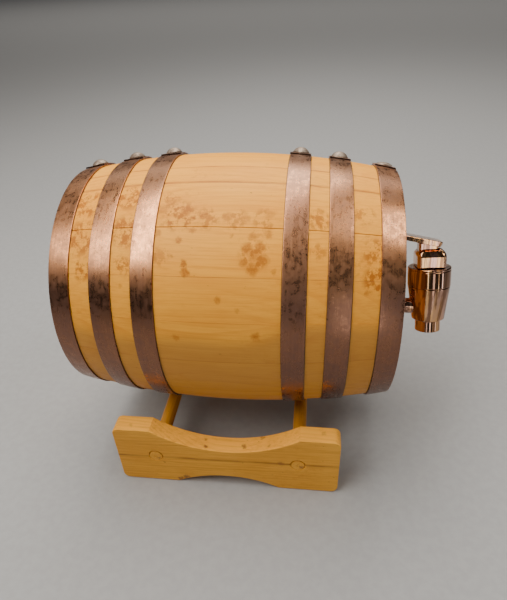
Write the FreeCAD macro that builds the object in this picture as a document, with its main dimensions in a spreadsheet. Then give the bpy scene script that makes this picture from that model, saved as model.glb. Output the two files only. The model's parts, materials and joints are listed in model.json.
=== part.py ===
import FreeCAD, Part
import os
import re

import Sketcher
from FreeCAD import Placement, Rotation, Vector

# A small stave barrel lying on its side in a two-board cradle, with a lever tap in its front head.
# Millimetres, +Z up, +X along the barrel towards the tap. The origin is on the floor, in the middle
# of the whole object's outline. The barrel is rolled a little about its own axis, so its designed
# top leans towards +Y. Angles around the barrel run from that top towards -Y.

X_AXIS = Vector(1, 0, 0)
Y_AXIS = Vector(0, 1, 0)
Z_AXIS = Vector(0, 0, 1)
FREE = 0.05  # clearance kept around pieces that are set in wood or metal, each side
OVERRUN = 1.0  # how far a cutting tool runs past the surface it leaves by
CLOSE = 1e-3  # how near an edge must lie to a wanted place to be picked there

DIMENSIONS = {
    "barrel_length": 230.0, "belly_radius": 95.7, "bend_radius": 539.5, "wall": 12.5,
    "barrel_centre": -24.115, "barrel_axis_height": 128.9, "barrel_roll": 18.5,
    "stave_start": 9.0, "stave_joint": 0.03, "chime_depth": 9.0, "chime_edge": 7.0,
    "head_thickness": 10.0, "head_radius": 76.6, "head_face_radius": 72.2, "head_edge": 4.0,
    "head_board_width": 49.0, "head_joint": 0.05, "pin_radius": 2.5, "pin_length": 22.0,
    "pin_spread": 44.0, "shank_hole_radius": 6.3,
    "strip_width": 14.9, "strip_thickness": 1.0, "strip_seat": 0.06,
    "lap_start": -8.0, "lap_angle": 14.0,
    "rivet_head_radius": 6.2, "rivet_dome": 3.9, "rivet_shank_radius": 2.5,
    "bung_angle": -24.0, "bung_depth": 14.0, "bung_stand_off": 3.5,
    "bung_inner_radius": 10.8, "bung_outer_radius": 12.2, "bung_fit": 0.1, "bung_round": 1.2,
    "board_length": 168.8, "board_height": 57.3, "board_thickness": 14.0, "board_place": 93.8,
    "stand_shift": -2.0, "board_corner": 5.5, "board_edge": 0.8,
    "saddle_radius": 95.5, "saddle_depth": 17.8, "arch_radius": 82.5, "arch_height": 10.1,
    "dowel_radius": 5.3, "dowel_spread": 54.1, "dowel_height": 29.3,
    "dowel_centre_radius": 1.2, "dowel_centre_depth": 0.9,
    "tap_reach": 148.4, "tap_drop": 19.0, "tap_lean": 3.5,
    "collar_radius": 15.9, "collar_bottom": 17.0, "collar_height": 14.7, "collar_bead": 0.7,
    "cone_top_radius": 15.6, "cone_foot_radius": 12.3, "cone_foot": 9.2,
    "outlet_radius": 9.45, "outlet_foot": 18.9, "outlet_bore": 5.0, "spigot_radius": 11.5,
    "spigot_height": 10.0, "plug_radius": 8.0, "plug_foot": 6.5, "plug_fit": 0.05,
    "port_radius": 3.5, "drop_radius": 4.2, "drop_top": 4.6,
    "stem_radius": 5.0, "stem_top": 43.0, "ring_section": 0.75,
    "ring_low": 10.0, "ring_high": 18.0, "shank_radius": 6.0, "shank_end": 64.0,
    "flange_radius": 11.0, "flange_thickness": 3.0, "washer_radius": 10.5,
    "outer_washer": 2.5, "inner_washer": 2.0, "nut_across_flats": 18.0, "nut_thickness": 7.0,
    "hub_side": 21.0, "hub_lift": 0.3, "hub_height": 14.2, "hub_corner": 4.2, "hub_bevel": 3.6,
    "neck_back": 8.8, "neck_front": 5.0, "neck_width": 10.0,
    "paddle_width": 15.0, "paddle_thickness": 4.0, "paddle_front": 8.0, "paddle_back": 24.0,
    "paddle_low": 46.7, "paddle_high": 54.7, "paddle_nose": 3.3, "paddle_back_corner": 6.5,
    "paddle_front_corner": 2.0, "screw_radius": 2.0, "screw_length": 5.3, "screw_height": 38.5,
    "screw_recess": 0.1, "socket_radius": 1.1, "socket_depth": 2.0,
}
STAVE_WIDTHS = (15.4, 11.1, 21.5, 19.1, 17.4, 17.9, 21.1, 22.0, 20.5,
                21.5, 20.5, 21.5, 21.0, 21.5, 23.5, 19.5, 24.0, 21.0)
HOOPS = {"head_hoop_rear": -107.4, "quarter_hoop_rear": -77.4, "bilge_hoop_rear": -48.4,
         "bilge_hoop_front": 47.3, "quarter_hoop_front": 75.1, "head_hoop_front": 107.4}
HEADS = {"front_head": 1, "rear_head": -1}

doc = FreeCAD.newDocument("oak_wine_barrel")
sheet = doc.addObject("Spreadsheet::Sheet", "Sheet")
subparts = []


def fill_sheet():
    """Write every driving dimension into its own named cell."""
    cells = dict(DIMENSIONS)
    cells.update({f"stave_width_{i:02d}": width for i, width in enumerate(STAVE_WIDTHS, 1)})
    cells.update({f"{name}_place": place for name, place in HOOPS.items()})
    for row, (alias, value) in enumerate(cells.items(), 1):
        sheet.set(f"A{row}", alias)
        sheet.set(f"B{row}", str(value))
        sheet.setAlias(f"B{row}", alias)
    doc.recompute()


def linked(formula):
    """Turn the cell names in a formula into references to the sheet."""
    return re.sub(r"\b(?!sqrt|asin)([a-z]\w*)", r"Sheet.\1", str(formula))


def size(formula):
    """Work a formula out from the sheet, in millimetres or degrees."""
    return float(sheet.evalExpression(linked(formula)))


def outer_radius(place):
    """Radius of the barrel's outside at a distance along its axis from the middle."""
    return f"(belly_radius - bend_radius + sqrt(bend_radius^2 - ({place})^2))"


def inner_radius(place):
    """Radius of the barrel's inside at a distance along its axis from the middle."""
    return f"(belly_radius - bend_radius + sqrt((bend_radius - wall)^2 - ({place})^2))"


def in_barrel(along=0.0, up=0.0, turn=0.0, tilt=0.0):
    """Placement in the rolled barrel: turned about its axis, then along it, up from it and tilted."""
    axis = Vector(size("barrel_centre"), 0, size("barrel_axis_height"))
    rolled = Placement(axis, Rotation(X_AXIS, turn - size("barrel_roll")))
    return rolled * Placement(Vector(along, 0, up), Rotation(Y_AXIS, tilt))


def in_shank():
    """Placement of the tap's shank: along the barrel, from where the tap's own axis crosses it."""
    return in_barrel(along=size("tap_reach"), up=-size("tap_drop"))


def in_tap():
    """Placement of the tap, whose own axis leans back over its shank."""
    return in_barrel(along=size("tap_reach"), up=-size("tap_drop"), tilt=-size("tap_lean"))


def keep(piece, label):
    """Name a finished sub-part and list it for writing."""
    piece.Label = label
    subparts.append(piece)
    return piece


def add_body(name, placement):
    """Start a PartDesign body at its place."""
    body = doc.addObject("PartDesign::Body", name)
    body.Placement = placement
    return body


def add_sketch(body, plane, offset=0.0, turn=0.0):
    """Start a sketch on one of the body's origin planes, moved along its normal and turned in it."""
    sketch = body.newObject("Sketcher::SketchObject", f"{body.Name}_outline")
    origin_plane = [item for item in body.Origin.OriginFeatures if item.Role == plane][0]
    sketch.AttachmentSupport = [(origin_plane, "")]
    sketch.MapMode = "FlatFace"
    sketch.AttachmentOffset = Placement(Vector(0, 0, offset), Rotation(Z_AXIS, turn))
    doc.recompute()
    return sketch


def pin_point(sketch, edge, end, x_formula, y_formula):
    """Fix one point of a sketch at a pair of formulas."""
    for kind, axis, formula in (("DistanceX", -2, x_formula), ("DistanceY", -1, y_formula)):
        value = size(formula)
        if abs(value) < 1e-9:
            sketch.addConstraint(Sketcher.Constraint("PointOnObject", edge, end, axis))
        else:
            number = sketch.addConstraint(Sketcher.Constraint(kind, -1, 1, edge, end, value))
            sketch.setExpression(f"Constraints[{number}]", linked(formula))


def arc_between(start, end, radius, side):
    """Arc from start to end; its centre is left of the way there (side 1) or right of it (-1)."""
    chord = end - start
    middle = (start + end) * 0.5
    rise = (radius ** 2 - (chord.Length / 2) ** 2) ** 0.5
    centre = middle + Vector(-chord.y, chord.x, 0).normalize() * rise * side
    crown = centre + (middle - centre).normalize() * radius
    return Part.Arc(start, crown, end)


def draw_outline(sketch, corners):
    """Draw a closed outline. A corner is (x, y) or (x, y, radius, side) where an arc leaves it."""
    points = [Vector(size(corner[0]), size(corner[1]), 0) for corner in corners]
    ends = []
    for number, corner in enumerate(corners):
        start, end = points[number], points[(number + 1) % len(points)]
        if len(corner) == 2:
            edge = sketch.addGeometry(Part.LineSegment(start, end))
            ends.append((edge, 1, 2))
        else:
            edge = sketch.addGeometry(arc_between(start, end, size(corner[2]), corner[3]))
            forward = sketch.getPoint(edge, 1).distanceToPoint(start) < 1e-6
            ends.append((edge, 1, 2) if forward else (edge, 2, 1))
    for number, (edge, first, _) in enumerate(ends):
        before, _, last = ends[number - 1]
        sketch.addConstraint(Sketcher.Constraint("Coincident", before, last, edge, first))
        pin_point(sketch, edge, first, corners[number][0], corners[number][1])
    for (edge, _, _), corner in zip(ends, corners):
        if len(corner) == 4:
            number = sketch.addConstraint(Sketcher.Constraint("Radius", edge, size(corner[2])))
            sketch.setExpression(f"Constraints[{number}]", linked(corner[2]))
    return sketch


def draw_rectangle(sketch, left, right, low, high):
    """Draw a rectangle from four formulas."""
    return draw_outline(sketch, [(left, low), (right, low), (right, high), (left, high)])


def draw_circle(sketch, x_formula, y_formula, radius):
    """Draw a circle from formulas for its centre and radius."""
    centre = Vector(size(x_formula), size(y_formula), 0)
    edge = sketch.addGeometry(Part.Circle(centre, Z_AXIS, size(radius)))
    pin_point(sketch, edge, 3, x_formula, y_formula)
    number = sketch.addConstraint(Sketcher.Constraint("Radius", edge, size(radius)))
    sketch.setExpression(f"Constraints[{number}]", linked(radius))
    return sketch


def add_feature(body, kind, sketch):
    """Add a PartDesign feature made from a sketch on top of what the body has so far."""
    base = body.Tip
    feature = body.newObject(f"PartDesign::{kind}", f"{body.Name}_{kind.lower()}")
    feature.BaseFeature = base
    feature.Profile = sketch
    return feature


def turn_profile(body, sketch, axis, angle=360, kind="Revolution"):
    """Revolve (or groove) a sketch about one of its own axes."""
    feature = add_feature(body, kind, sketch)
    feature.ReferenceAxis = (sketch, [axis])
    feature.setExpression("Angle", linked(angle))
    doc.recompute()
    return feature


def push_profile(body, sketch, length, kind="Pad", both_ways=True, back=False):
    """Pad (or pocket) a sketch, evenly to both sides or to one side."""
    feature = add_feature(body, kind, sketch)
    feature.Midplane = both_ways
    feature.Reversed = back
    feature.setExpression("Length", linked(length))
    doc.recompute()
    return feature


def dress_edges(body, kind, amount, wanted):
    """Fillet or chamfer the edges of a body whose middle and direction pass a test."""
    base = body.Tip
    names = [f"Edge{i}" for i, edge in enumerate(base.Shape.Edges, 1) if wanted(edge)]
    feature = body.newObject(f"PartDesign::{kind}", f"{body.Name}_{kind.lower()}")
    feature.BaseFeature = base
    feature.Base = (base, names)
    feature.setExpression("Radius" if kind == "Fillet" else "Size", linked(amount))
    doc.recompute()
    return feature


def runs_along(edge, axis):
    """Whether an edge is a straight one in the direction of an axis."""
    return edge.Curve.TypeId == "Part::GeomLine" and abs(edge.Curve.Direction.dot(axis)) > 0.999


def cut_from(base, tools, label):
    """Take away tools from a piece with Part booleans."""
    for number, tool in enumerate(tools, 1):
        cut = doc.addObject("Part::Cut", f"{label}_cut_{number}")
        cut.Base = base
        cut.Tool = tool
        base = cut
    doc.recompute()
    return base


def add_cylinder(name, radius, height, placement):
    """A cylinder sized by formulas."""
    cylinder = doc.addObject("Part::Cylinder", name)
    cylinder.setExpression("Radius", linked(radius))
    cylinder.setExpression("Height", linked(height))
    cylinder.Placement = placement
    return cylinder


def add_group(label, pieces):
    """Several alike solids as one sub-part."""
    group = doc.addObject("Part::Compound", label)
    group.Links = pieces
    return keep(group, label)


# --- Barrel wood ---------------------------------------------------------------------------------

HEAD_OUT = "barrel_length / 2 - chime_depth"
HEAD_IN = "barrel_length / 2 - chime_depth - head_thickness"
HEAD_MIDDLE = "barrel_length / 2 - chime_depth - head_thickness / 2"


def stave_outline():
    """Lengthwise section of the wall: bent outside, chime, croze groove and bent inside."""
    end = "barrel_length / 2"
    rim = outer_radius(end)
    lip = f"{rim} - chime_edge"
    groove = f"head_radius + {FREE}"
    half_edge = f"(head_edge / 2 + {FREE})"
    tail = [(end, lip), (HEAD_OUT, inner_radius(HEAD_OUT)), (f"{HEAD_MIDDLE} + {half_edge}", groove),
            (f"{HEAD_MIDDLE} - {half_edge}", groove)]
    mirrored = [(f"-({x})", y) for x, y in reversed(tail)]
    outside = [(f"-{end}", rim, "bend_radius", -1), (end, rim)]
    inside = [(HEAD_IN, inner_radius(HEAD_IN), "bend_radius - wall", 1),
              (f"-({HEAD_IN})", inner_radius(HEAD_IN))]
    return outside + tail + inside + mirrored


def make_stave(number):
    """One stave: the wall's section swept through that stave's own width."""
    before = "".join(f" + stave_width_{i:02d}" for i in range(1, number))
    start = size(f"stave_start{before} + stave_joint / 2")
    body = add_body(f"stave_{number:02d}_blank", in_barrel(turn=90 + start))
    outline = draw_outline(add_sketch(body, "XY_Plane"), stave_outline())
    turn_profile(body, outline, "H_Axis", f"stave_width_{number:02d} - stave_joint")
    return body


def bung_hole():
    """Tapered hole for the bung, a little wider than it all the way down."""
    slope = "(bung_outer_radius - bung_inner_radius) / (bung_stand_off + bung_depth)"
    hole = doc.addObject("Part::Cone", "bung_hole")
    hole.setExpression("Radius1", linked(f"bung_inner_radius + bung_fit - {OVERRUN} * {slope}"))
    hole.setExpression("Radius2", linked("bung_outer_radius + bung_fit"))
    hole.setExpression("Height", linked(f"bung_depth + bung_stand_off + {OVERRUN}"))
    depth = size(f"bung_depth + {OVERRUN}")
    hole.Placement = in_barrel(up=size("belly_radius") - depth, turn=size("bung_angle"))
    return hole


def make_staves():
    """All the staves, with the bung hole bored in the one that carries the bung."""
    edge = size("stave_start")
    for number, width in enumerate(STAVE_WIDTHS, 1):
        stave = make_stave(number)
        if edge < size("bung_angle + 360") < edge + width:
            stave = cut_from(stave, [bung_hole()], "bung_stave")
        keep(stave, f"stave_{number:02d}")
        edge += width


def make_bung():
    """Turned wooden bung, tapered, with a rounded top edge."""
    placement = in_barrel(up=size("belly_radius"), turn=size("bung_angle"))
    body = add_body("bung", placement)
    outline = [("0", "-bung_depth"), ("bung_inner_radius", "-bung_depth"),
               ("bung_outer_radius", "bung_stand_off"), ("0", "bung_stand_off")]
    turn_profile(body, draw_outline(add_sketch(body, "XZ_Plane"), outline), "V_Axis")
    top = size("bung_stand_off")
    dress_edges(body, "Fillet", "bung_round",
                lambda edge: edge.Closed and edge.BoundBox.ZMin > top - CLOSE)
    keep(body, "bung")


def pin_places():
    """Where the dowel pins cross the joints of a head: across the boards and up them."""
    joints = [side * size("head_board_width / 2") for side in (-1, 1)]
    return [(joint, up * size("pin_spread")) for joint in joints for up in (-1, 1)]


def make_pins(head, side, free, name, places):
    """Pins of one head, or their holes when they are made with some free space."""
    pins = []
    for number, (across, up) in enumerate(places, 1):
        middle = in_barrel(along=side * size(HEAD_MIDDLE))
        start = Vector(0, across - size("pin_length / 2") - free, up)
        lying = Placement(start, Rotation(X_AXIS, -90))
        pins.append(add_cylinder(f"{head}_{name}_{number}", f"pin_radius + {free}",
                                 f"pin_length + {2 * free}", middle * lying))
    return pins


def make_head_board(head, side, number):
    """One board of a head: a bevelled disc cut down to its own strip."""
    body = add_body(f"{head}_blank_{number}", in_barrel(along=side * size(HEAD_MIDDLE)))
    half, edge = "head_thickness / 2", "head_edge / 2"
    outline = [(f"-{half}", "0"), (half, "0"), (half, "head_face_radius"), (edge, "head_radius"),
               (f"-{edge}", "head_radius"), (f"-{half}", "head_face_radius")]
    turn_profile(body, draw_outline(add_sketch(body, "XY_Plane"), outline), "H_Axis")
    joint = "(head_board_width + head_joint) / 2"
    seam = "(head_board_width - head_joint) / 2"
    far = f"head_radius + {OVERRUN}"
    trims = {1: [(f"-({joint})", far)], 2: [(f"-({far})", f"-({seam})"), (seam, far)],
             3: [(f"-({far})", joint)]}
    for left, right in trims[number]:
        strip = draw_rectangle(add_sketch(body, "YZ_Plane"), left, right, f"-({far})", far)
        push_profile(body, strip, f"head_thickness + {2 * OVERRUN}", "Pocket")
    if head == "front_head" and number == 2:
        hole = draw_circle(add_sketch(body, "YZ_Plane"), "0", "-tap_drop", "shank_hole_radius")
        push_profile(body, hole, f"head_thickness + {2 * OVERRUN}", "Pocket")
    return body


def make_heads():
    """Both heads: three boards each, held edge to edge by hidden pins."""
    for head, side in HEADS.items():
        for number in (1, 2, 3):
            board = make_head_board(head, side, number)
            places = {1: pin_places()[:2], 2: pin_places(), 3: pin_places()[2:]}[number]
            holes = make_pins(head, side, FREE, f"board_{number}_hole", places)
            keep(cut_from(board, holes, f"{head}_board_{number}"), f"{head}_board_{number}")
        add_group(f"{head}_pins", make_pins(head, side, 0, "pin", pin_places()))


# --- Hoops ---------------------------------------------------------------------------------------

def strip_section(place, layer):
    """Section of the hoop strip on the bent staves, as the inner layer (0) or the lap over it (1)."""
    low, high = f"({place} - strip_width / 2)", f"({place} + strip_width / 2)"
    seat = f"strip_seat + {layer} * strip_thickness"
    return [(low, f"{outer_radius(low)} + {seat}"), (high, f"{outer_radius(high)} + {seat}"),
            (high, f"{outer_radius(high)} + {seat} + strip_thickness"),
            (low, f"{outer_radius(low)} + {seat} + strip_thickness")]


def rivet_place(place):
    """Placement of a rivet on the lap, square to the strip."""
    slope = size(f"asin(({place}) / bend_radius)")
    low, high = f"({place} - strip_width / 2)", f"({place} + strip_width / 2)"
    seat = size(f"({outer_radius(low)} + {outer_radius(high)}) / 2 + strip_seat + 2 * strip_thickness")
    return in_barrel(along=size(place), up=seat, tilt=slope)


def make_hoop(name):
    """One hoop: a closed band with its lapped end on top and a hole for the rivet."""
    place = f"{name}_place"
    body = add_body(f"{name}_band", in_barrel(turn=90 + size("lap_start")))
    band = draw_outline(add_sketch(body, "XY_Plane"), strip_section(place, 0))
    turn_profile(body, band, "H_Axis")
    lap = draw_outline(add_sketch(body, "XY_Plane"), strip_section(place, 1))
    turn_profile(body, lap, "H_Axis", "lap_angle")
    depth = Placement(Vector(0, 0, -size(f"2 * strip_thickness + {OVERRUN}")), Rotation())
    hole = add_cylinder(f"{name}_hole", f"rivet_shank_radius + {FREE / 5}",
                        f"2 * strip_thickness + {2 * OVERRUN}", rivet_place(place) * depth)
    keep(cut_from(body, [hole], name), name)


def make_rivet(name):
    """One round-headed rivet, flush inside the strip so that it clears the staves."""
    body = add_body(f"{name}_rivet", rivet_place(f"{name}_place"))
    foot = f"{FREE} * 2 - 2 * strip_thickness"
    dome = "(rivet_head_radius^2 + rivet_dome^2) / (2 * rivet_dome)"
    outline = [("0", foot), ("rivet_shank_radius", foot), ("rivet_shank_radius", "0"),
               ("rivet_head_radius", "0", dome, 1), ("0", "rivet_dome")]
    turn_profile(body, draw_outline(add_sketch(body, "XZ_Plane"), outline), "V_Axis")
    return body


def make_hoops():
    """All six hoops and the rivets that close them."""
    for name in HOOPS:
        make_hoop(name)
    add_group("hoop_rivets", [make_rivet(name) for name in HOOPS])


# --- Stand ---------------------------------------------------------------------------------------

def make_board(name, side):
    """One cradle board: saddle above, arch below, rounded corners and two dowel holes."""
    place = Vector(size("barrel_centre + stand_shift"), side * size("board_place"), 0)
    body = add_body(f"{name}_blank", Placement(place, Rotation()))
    arch = "sqrt(2 * arch_radius * arch_height - arch_height^2)"
    saddle = "sqrt(2 * saddle_radius * saddle_depth - saddle_depth^2)"
    end, top = "board_length / 2", "board_height"
    outline = [(f"-{end}", "0"), (f"-{arch}", "0", "arch_radius", -1), (arch, "0"), (end, "0"),
               (end, top), (saddle, top, "saddle_radius", -1), (f"-{saddle}", top), (f"-{end}", top)]
    push_profile(body, draw_outline(add_sketch(body, "XZ_Plane"), outline), "board_thickness")
    reach = size(end)
    dress_edges(body, "Fillet", "board_corner",
                lambda edge: runs_along(edge, Y_AXIS) and abs(edge.BoundBox.Center.x) > reach - CLOSE)
    face = size("board_thickness / 2")
    dress_edges(body, "Fillet", "board_edge",
                lambda edge: abs(abs(edge.BoundBox.Center.y) - face) < CLOSE)
    for place in ("-dowel_spread", "dowel_spread"):
        hole = draw_circle(add_sketch(body, "XZ_Plane"), place, "dowel_height",
                           f"dowel_radius + {FREE / 5}")
        push_profile(body, hole, f"board_thickness + {2 * OVERRUN}", "Pocket")
    keep(body, name)


def make_dowel(name, side):
    """One cross dowel, with the lathe's centre mark in both ends."""
    along = size("barrel_centre + stand_shift") + side * size("dowel_spread")
    body = add_body(f"{name}_blank", Placement(Vector(along, 0, size("dowel_height")), Rotation()))
    end = "(board_place + board_thickness / 2)"
    mark = f"({end} - dowel_centre_depth)"
    outline = [("0", f"-{mark}"), ("dowel_centre_radius", f"-{end}"), ("dowel_radius", f"-{end}"),
               ("dowel_radius", end), ("dowel_centre_radius", end), ("0", mark)]
    turn_profile(body, draw_outline(add_sketch(body, "XY_Plane"), outline), "V_Axis")
    keep(body, name)


def make_stand():
    """The cradle: two boards across which two dowels carry the barrel's bilge hoops."""
    make_board("stand_board_near", -1)
    make_board("stand_board_far", 1)
    make_dowel("stand_dowel_rear", -1)
    make_dowel("stand_dowel_front", 1)


# --- Tap -----------------------------------------------------------------------------------------

WASHER_OUT = "(tap_reach - barrel_length / 2 + chime_depth)"
SHANK_FACE = f"({WASHER_OUT} - outer_washer)"
WASHER_IN = f"({WASHER_OUT} + head_thickness)"
COLLAR_TOP = "(collar_bottom + collar_height)"


def make_tap_body():
    """Tap casting: conical body with its spigot and outlet, the flanged shank, and all the bores."""
    body = add_body("tap_casting", in_tap())
    spigot = "(collar_bottom + spigot_height)"
    shell = [("0", "-outlet_foot"), ("outlet_radius", "-outlet_foot"), ("outlet_radius", "-cone_foot"),
             ("cone_foot_radius", "-cone_foot"), ("cone_top_radius", "collar_bottom"),
             ("spigot_radius", "collar_bottom"), ("spigot_radius", spigot), ("0", spigot)]
    turn_profile(body, draw_outline(add_sketch(body, "XZ_Plane"), shell), "V_Axis")
    flange = f"-({SHANK_FACE} - flange_thickness)"
    shank = [("-shank_end", "0"), ("0", "0"), ("0", "shank_radius"), (flange, "shank_radius"),
             (flange, "flange_radius"), (f"-{SHANK_FACE}", "flange_radius"),
             (f"-{SHANK_FACE}", "shank_radius"), ("-shank_end", "shank_radius")]
    level = -size("tap_lean")
    turn_profile(body, draw_outline(add_sketch(body, "XZ_Plane", turn=level), shank), "H_Axis")
    above = f"({spigot} + {OVERRUN})"
    below = f"-(outlet_foot + {OVERRUN})"
    chamber = [("0", below), ("outlet_bore", below), ("outlet_bore", "-plug_foot"),
               ("plug_radius", "-plug_foot"), ("plug_radius", above), ("0", above)]
    turn_profile(body, draw_outline(add_sketch(body, "XZ_Plane"), chamber), "V_Axis", kind="Groove")
    inlet = [(f"-(shank_end + {OVERRUN})", "0"), ("0", "0"), ("0", "port_radius"),
             (f"-(shank_end + {OVERRUN})", "port_radius")]
    bore = draw_outline(add_sketch(body, "XZ_Plane", turn=level), inlet)
    turn_profile(body, bore, "H_Axis", kind="Groove")
    keep(body, "tap_body")


def make_tap_collar():
    """Screwed collar over the spigot: it keeps the plug down and lets the stem through."""
    body = add_body("tap_collar", in_tap())
    roof = f"(collar_bottom + spigot_height + {2 * FREE})"
    bead = "collar_bead"
    outline = [(f"spigot_radius + {FREE}", "collar_bottom"), ("collar_radius", "collar_bottom"),
               ("collar_radius", f"{COLLAR_TOP} - 3 * {bead}"),
               (f"collar_radius - {bead}", f"{COLLAR_TOP} - 2 * {bead}"),
               (f"collar_radius - {bead}", COLLAR_TOP), ("stem_radius + plug_fit", COLLAR_TOP),
               ("stem_radius + plug_fit", roof), (f"spigot_radius + {FREE}", roof)]
    turn_profile(body, draw_outline(add_sketch(body, "XZ_Plane"), outline), "V_Axis")
    keep(body, "tap_collar")


def make_tap_plug():
    """Turning plug: an elbow port, two ring grooves and the stem that carries the lever."""
    body = add_body("tap_plug", in_tap())
    side = "(plug_radius - plug_fit)"
    foot = f"-(plug_foot - {FREE})"
    shoulder = f"(collar_bottom + spigot_height - {FREE})"
    outline = [("0", foot), (side, foot), (side, shoulder), ("stem_radius", shoulder),
               ("stem_radius", "stem_top"), ("0", "stem_top")]
    turn_profile(body, draw_outline(add_sketch(body, "XZ_Plane"), outline), "V_Axis")
    floor = f"({side} - 2 * ring_section - {FREE})"
    for place in ("ring_low", "ring_high"):
        groove = draw_rectangle(add_sketch(body, "XZ_Plane"), floor, f"plug_radius + {OVERRUN}",
                                f"{place} - ring_section - {FREE}", f"{place} + ring_section + {FREE}")
        turn_profile(body, groove, "V_Axis", kind="Groove")
    drop = draw_rectangle(add_sketch(body, "XZ_Plane"), "0", "drop_radius",
                          f"-(plug_foot + {OVERRUN})", "drop_top")
    turn_profile(body, drop, "V_Axis", kind="Groove")
    port = draw_rectangle(add_sketch(body, "XY_Plane"), "0", "port_radius", "0",
                          f"plug_radius + {OVERRUN}")
    turn_profile(body, port, "V_Axis", kind="Groove")
    keep(body, "tap_plug")


def make_tap_rings():
    """Two sealing rings in the plug's grooves."""
    rings = []
    for place in ("ring_low", "ring_high"):
        ring = doc.addObject("Part::Torus", f"tap_{place}")
        ring.setExpression("Radius1", linked("plug_radius - plug_fit - ring_section"))
        ring.setExpression("Radius2", linked("ring_section"))
        ring.Placement = in_tap() * Placement(Vector(0, 0, size(place)), Rotation())
        rings.append(ring)
    add_group("tap_seal_rings", rings)


def make_tap_lever():
    """Lever: a bevelled block on the stem, a neck and a thick thumb paddle that rises to the back."""
    body = add_body("tap_lever_block", in_tap())
    floor = f"({COLLAR_TOP} + hub_lift)"
    top = f"({floor} + hub_height)"
    half = "hub_side / 2"
    block = draw_rectangle(add_sketch(body, "XY_Plane", size(floor)), f"-{half}", half, f"-{half}", half)
    push_profile(body, block, "hub_height", both_ways=False)
    dress_edges(body, "Fillet", "hub_corner", lambda edge: runs_along(edge, Z_AXIS))
    brow = size(top)
    dress_edges(body, "Chamfer", "hub_bevel", lambda edge: edge.BoundBox.ZMin > brow - CLOSE)
    rise = "(paddle_high - paddle_low) / (paddle_front + paddle_back)"
    half_up = "paddle_low + paddle_thickness / 2"
    neck = [("-neck_back", f"{top} - hub_bevel"), ("neck_front", f"{top} - hub_bevel"),
            ("neck_front", f"{half_up} + {rise} * (paddle_front - neck_front)"),
            ("-neck_back", f"{half_up} + {rise} * (paddle_front + neck_back)")]
    push_profile(body, draw_outline(add_sketch(body, "XZ_Plane"), neck), "neck_width")
    paddle = [("paddle_front - paddle_nose", f"paddle_low + {rise} * paddle_nose"),
              ("paddle_front", "paddle_low + paddle_thickness"),
              ("-paddle_back", "paddle_high + paddle_thickness"), ("-paddle_back", "paddle_high")]
    push_profile(body, draw_outline(add_sketch(body, "XZ_Plane"), paddle), "paddle_width")
    back, front, nose = size("-paddle_back"), size("paddle_front"), size("paddle_front - paddle_nose")
    dress_edges(body, "Fillet", "paddle_back_corner",
                lambda edge: runs_along(edge, Z_AXIS) and abs(edge.BoundBox.Center.x - back) < CLOSE)
    dress_edges(body, "Fillet", "paddle_front_corner",
                lambda edge: edge.BoundBox.XMin > nose - CLOSE and edge.BoundBox.XMax > front - CLOSE
                and edge.BoundBox.YLength < CLOSE and edge.BoundBox.ZMin > brow - CLOSE)
    stem = draw_circle(add_sketch(body, "XY_Plane"), "0", "0", f"stem_radius + {FREE / 5}")
    push_profile(body, stem, f"stem_top + {FREE}", "Pocket", both_ways=False, back=True)
    bore = draw_circle(add_sketch(body, "YZ_Plane"), "0", "screw_height", f"screw_radius + {FREE / 5}")
    push_profile(body, bore, f"hub_side / 2 + {OVERRUN}", "Pocket", both_ways=False, back=True)
    keep(body, "tap_lever")


def make_lever_screw():
    """Set screw that holds the lever on the stem, with a socket for its key."""
    body = add_body("tap_lever_screw", in_tap())
    head = "(hub_side / 2 - screw_recess)"
    outline = [(f"{head} - screw_length", "0"), (f"{head} - screw_length", "screw_radius"),
               (head, "screw_radius"), (head, "socket_radius"), (f"{head} - socket_depth", "socket_radius"),
               (f"{head} - socket_depth", "0")]
    turn_profile(body, draw_outline(add_sketch(body, "XZ_Plane"), outline), "H_Axis")
    body.Placement = in_tap() * Placement(Vector(0, 0, size("screw_height")), Rotation())
    keep(body, "tap_lever_screw")


def make_washer(name, place, thickness):
    """Flat ring on the shank, from one place along it towards the inside of the barrel."""
    body = add_body(f"{name}_ring", in_shank())
    outline = draw_rectangle(add_sketch(body, "XZ_Plane"), f"-({place} + {thickness})", f"-({place})",
                             f"shank_radius + {FREE}", "washer_radius")
    turn_profile(body, outline, "H_Axis")
    keep(body, name)


def make_shank_nut():
    """Hexagon nut on the end of the shank, inside the barrel."""
    place = size(f"{WASHER_IN} + inner_washer + nut_thickness")
    nut = doc.addObject("Part::Prism", "shank_nut_blank")
    nut.Polygon = 6
    nut.setExpression("Circumradius", linked("nut_across_flats / sqrt(3)"))
    nut.setExpression("Height", linked("nut_thickness"))
    nut.Placement = in_shank() * Placement(Vector(-place, 0, 0), Rotation(Y_AXIS, 90))
    hole = add_cylinder("shank_nut_hole", f"shank_radius + {FREE / 5}",
                        f"nut_thickness + {2 * OVERRUN}",
                        in_shank() * Placement(Vector(-place - OVERRUN, 0, 0), Rotation(Y_AXIS, 90)))
    keep(cut_from(nut, [hole], "tap_shank_nut"), "tap_shank_nut")


def make_tap():
    """The whole tap: casting, collar, turning plug and lever, and what clamps it to the head."""
    make_tap_body()
    make_tap_collar()
    make_tap_plug()
    make_tap_rings()
    make_tap_lever()
    make_lever_screw()
    make_washer("tap_outer_washer", SHANK_FACE, "outer_washer")
    make_washer("tap_inner_washer", WASHER_IN, "inner_washer")
    make_shank_nut()


def check_document():
    """Stop if any object failed or any sub-part has no sound shape."""
    doc.recompute()
    for item in doc.Objects:
        if {"Invalid", "Error"} & set(item.State):
            raise RuntimeError(f"{item.Label} failed: {item.State}")
    for piece in subparts:
        if piece.Shape.isNull() or not piece.Shape.isValid():
            raise RuntimeError(f"{piece.Label} has no sound shape")


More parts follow.
